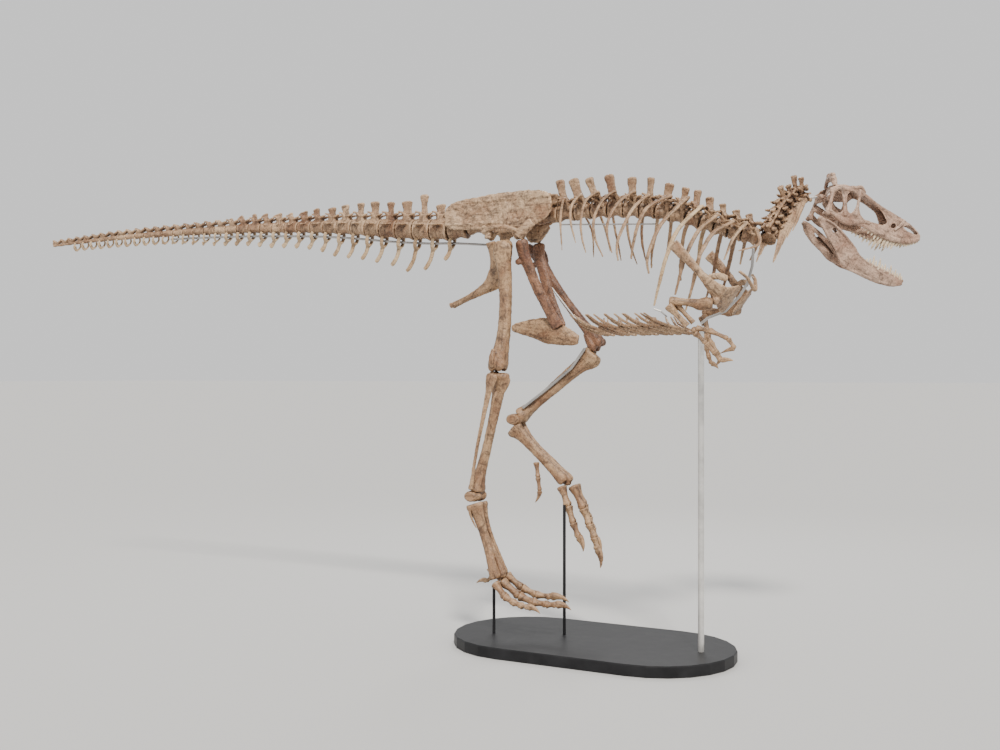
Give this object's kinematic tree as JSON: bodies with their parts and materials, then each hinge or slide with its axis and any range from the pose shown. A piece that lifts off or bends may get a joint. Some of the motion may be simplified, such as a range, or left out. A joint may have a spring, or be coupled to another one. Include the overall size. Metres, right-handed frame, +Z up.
{
  "type": "mounted tyrannosaurid dinosaur skeleton",
  "caption": "Life-size mounted fossil skeleton of a young tyrannosaurid, running with open jaws, held by slim posts and rods on a flat black base with round ends.",
  "frame": {"origin": "centre of the base's flat underside", "axes": "+X along the back toward the head, +Y toward the animal's left, +Z up"},
  "size_m": [6.1329, 1.3304, 2.7598],
  "materials": {
    "axial_bone": "satin fossil bone, brown and tan",
    "skull_bone": "satin fossil bone, pinkish tan, cream teeth",
    "light_bone": "satin fossil bone, light tan, mottled",
    "red_bone": "satin fossil bone, reddish brown",
    "limb_bone": "satin fossil bone, brown",
    "stand_paint": "satin black paint"
  },
  "bodies": {
    "root": {"ankle_left": "limb_bone", "ankle_right": "limb_bone", "femur_left": "limb_bone", "femur_right": "limb_bone", "fibula_left": "limb_bone", "fibula_right": "limb_bone", "furcula": "light_bone", "gastralia": "axial_bone", "hand_left": "limb_bone", "hand_right": "limb_bone", "humerus_left": "limb_bone", "humerus_right": "limb_bone", "ilium_left": "light_bone", "ilium_right": "light_bone", "ischium_left": "red_bone", "ischium_right": "red_bone", "mandible_left": "skull_bone", "mandible_right": "skull_bone", "metatarsus_left": "limb_bone", "metatarsus_right": "limb_bone", "neck": "axial_bone", "pubis": "red_bone", "radius_left": "limb_bone", "radius_right": "limb_bone", "ribcage_left": "axial_bone", "ribcage_right": "axial_bone", "sacrum": "axial_bone", "scapulocoracoid_left": "light_bone", "scapulocoracoid_right": "light_bone", "skull": "skull_bone", "stand_base": "stand_paint", "stand_post_foot_left": "stand_paint", "stand_post_foot_right": "stand_paint", "stand_post_front": "stand_paint", "stand_rod_back": "stand_paint", "stand_rod_chest": "stand_paint", "stand_rod_rib": "stand_paint", "stand_rod_shin_left": "stand_paint", "stand_rod_skull": "stand_paint", "stand_rod_tail": "stand_paint", "stand_rod_thigh_left": "stand_paint", "tail_base": "axial_bone", "tail_mid": "axial_bone", "tail_tip": "axial_bone", "tibia_left": "limb_bone", "tibia_right": "limb_bone", "toe_1_left": "limb_bone", "toe_1_right": "limb_bone", "toe_2_left": "limb_bone", "toe_2_right": "limb_bone", "toe_3_left": "limb_bone", "toe_3_right": "limb_bone", "toe_4_left": "limb_bone", "toe_4_right": "limb_bone", "ulna_left": "limb_bone", "ulna_right": "limb_bone"}
  },
  "joints": []
}
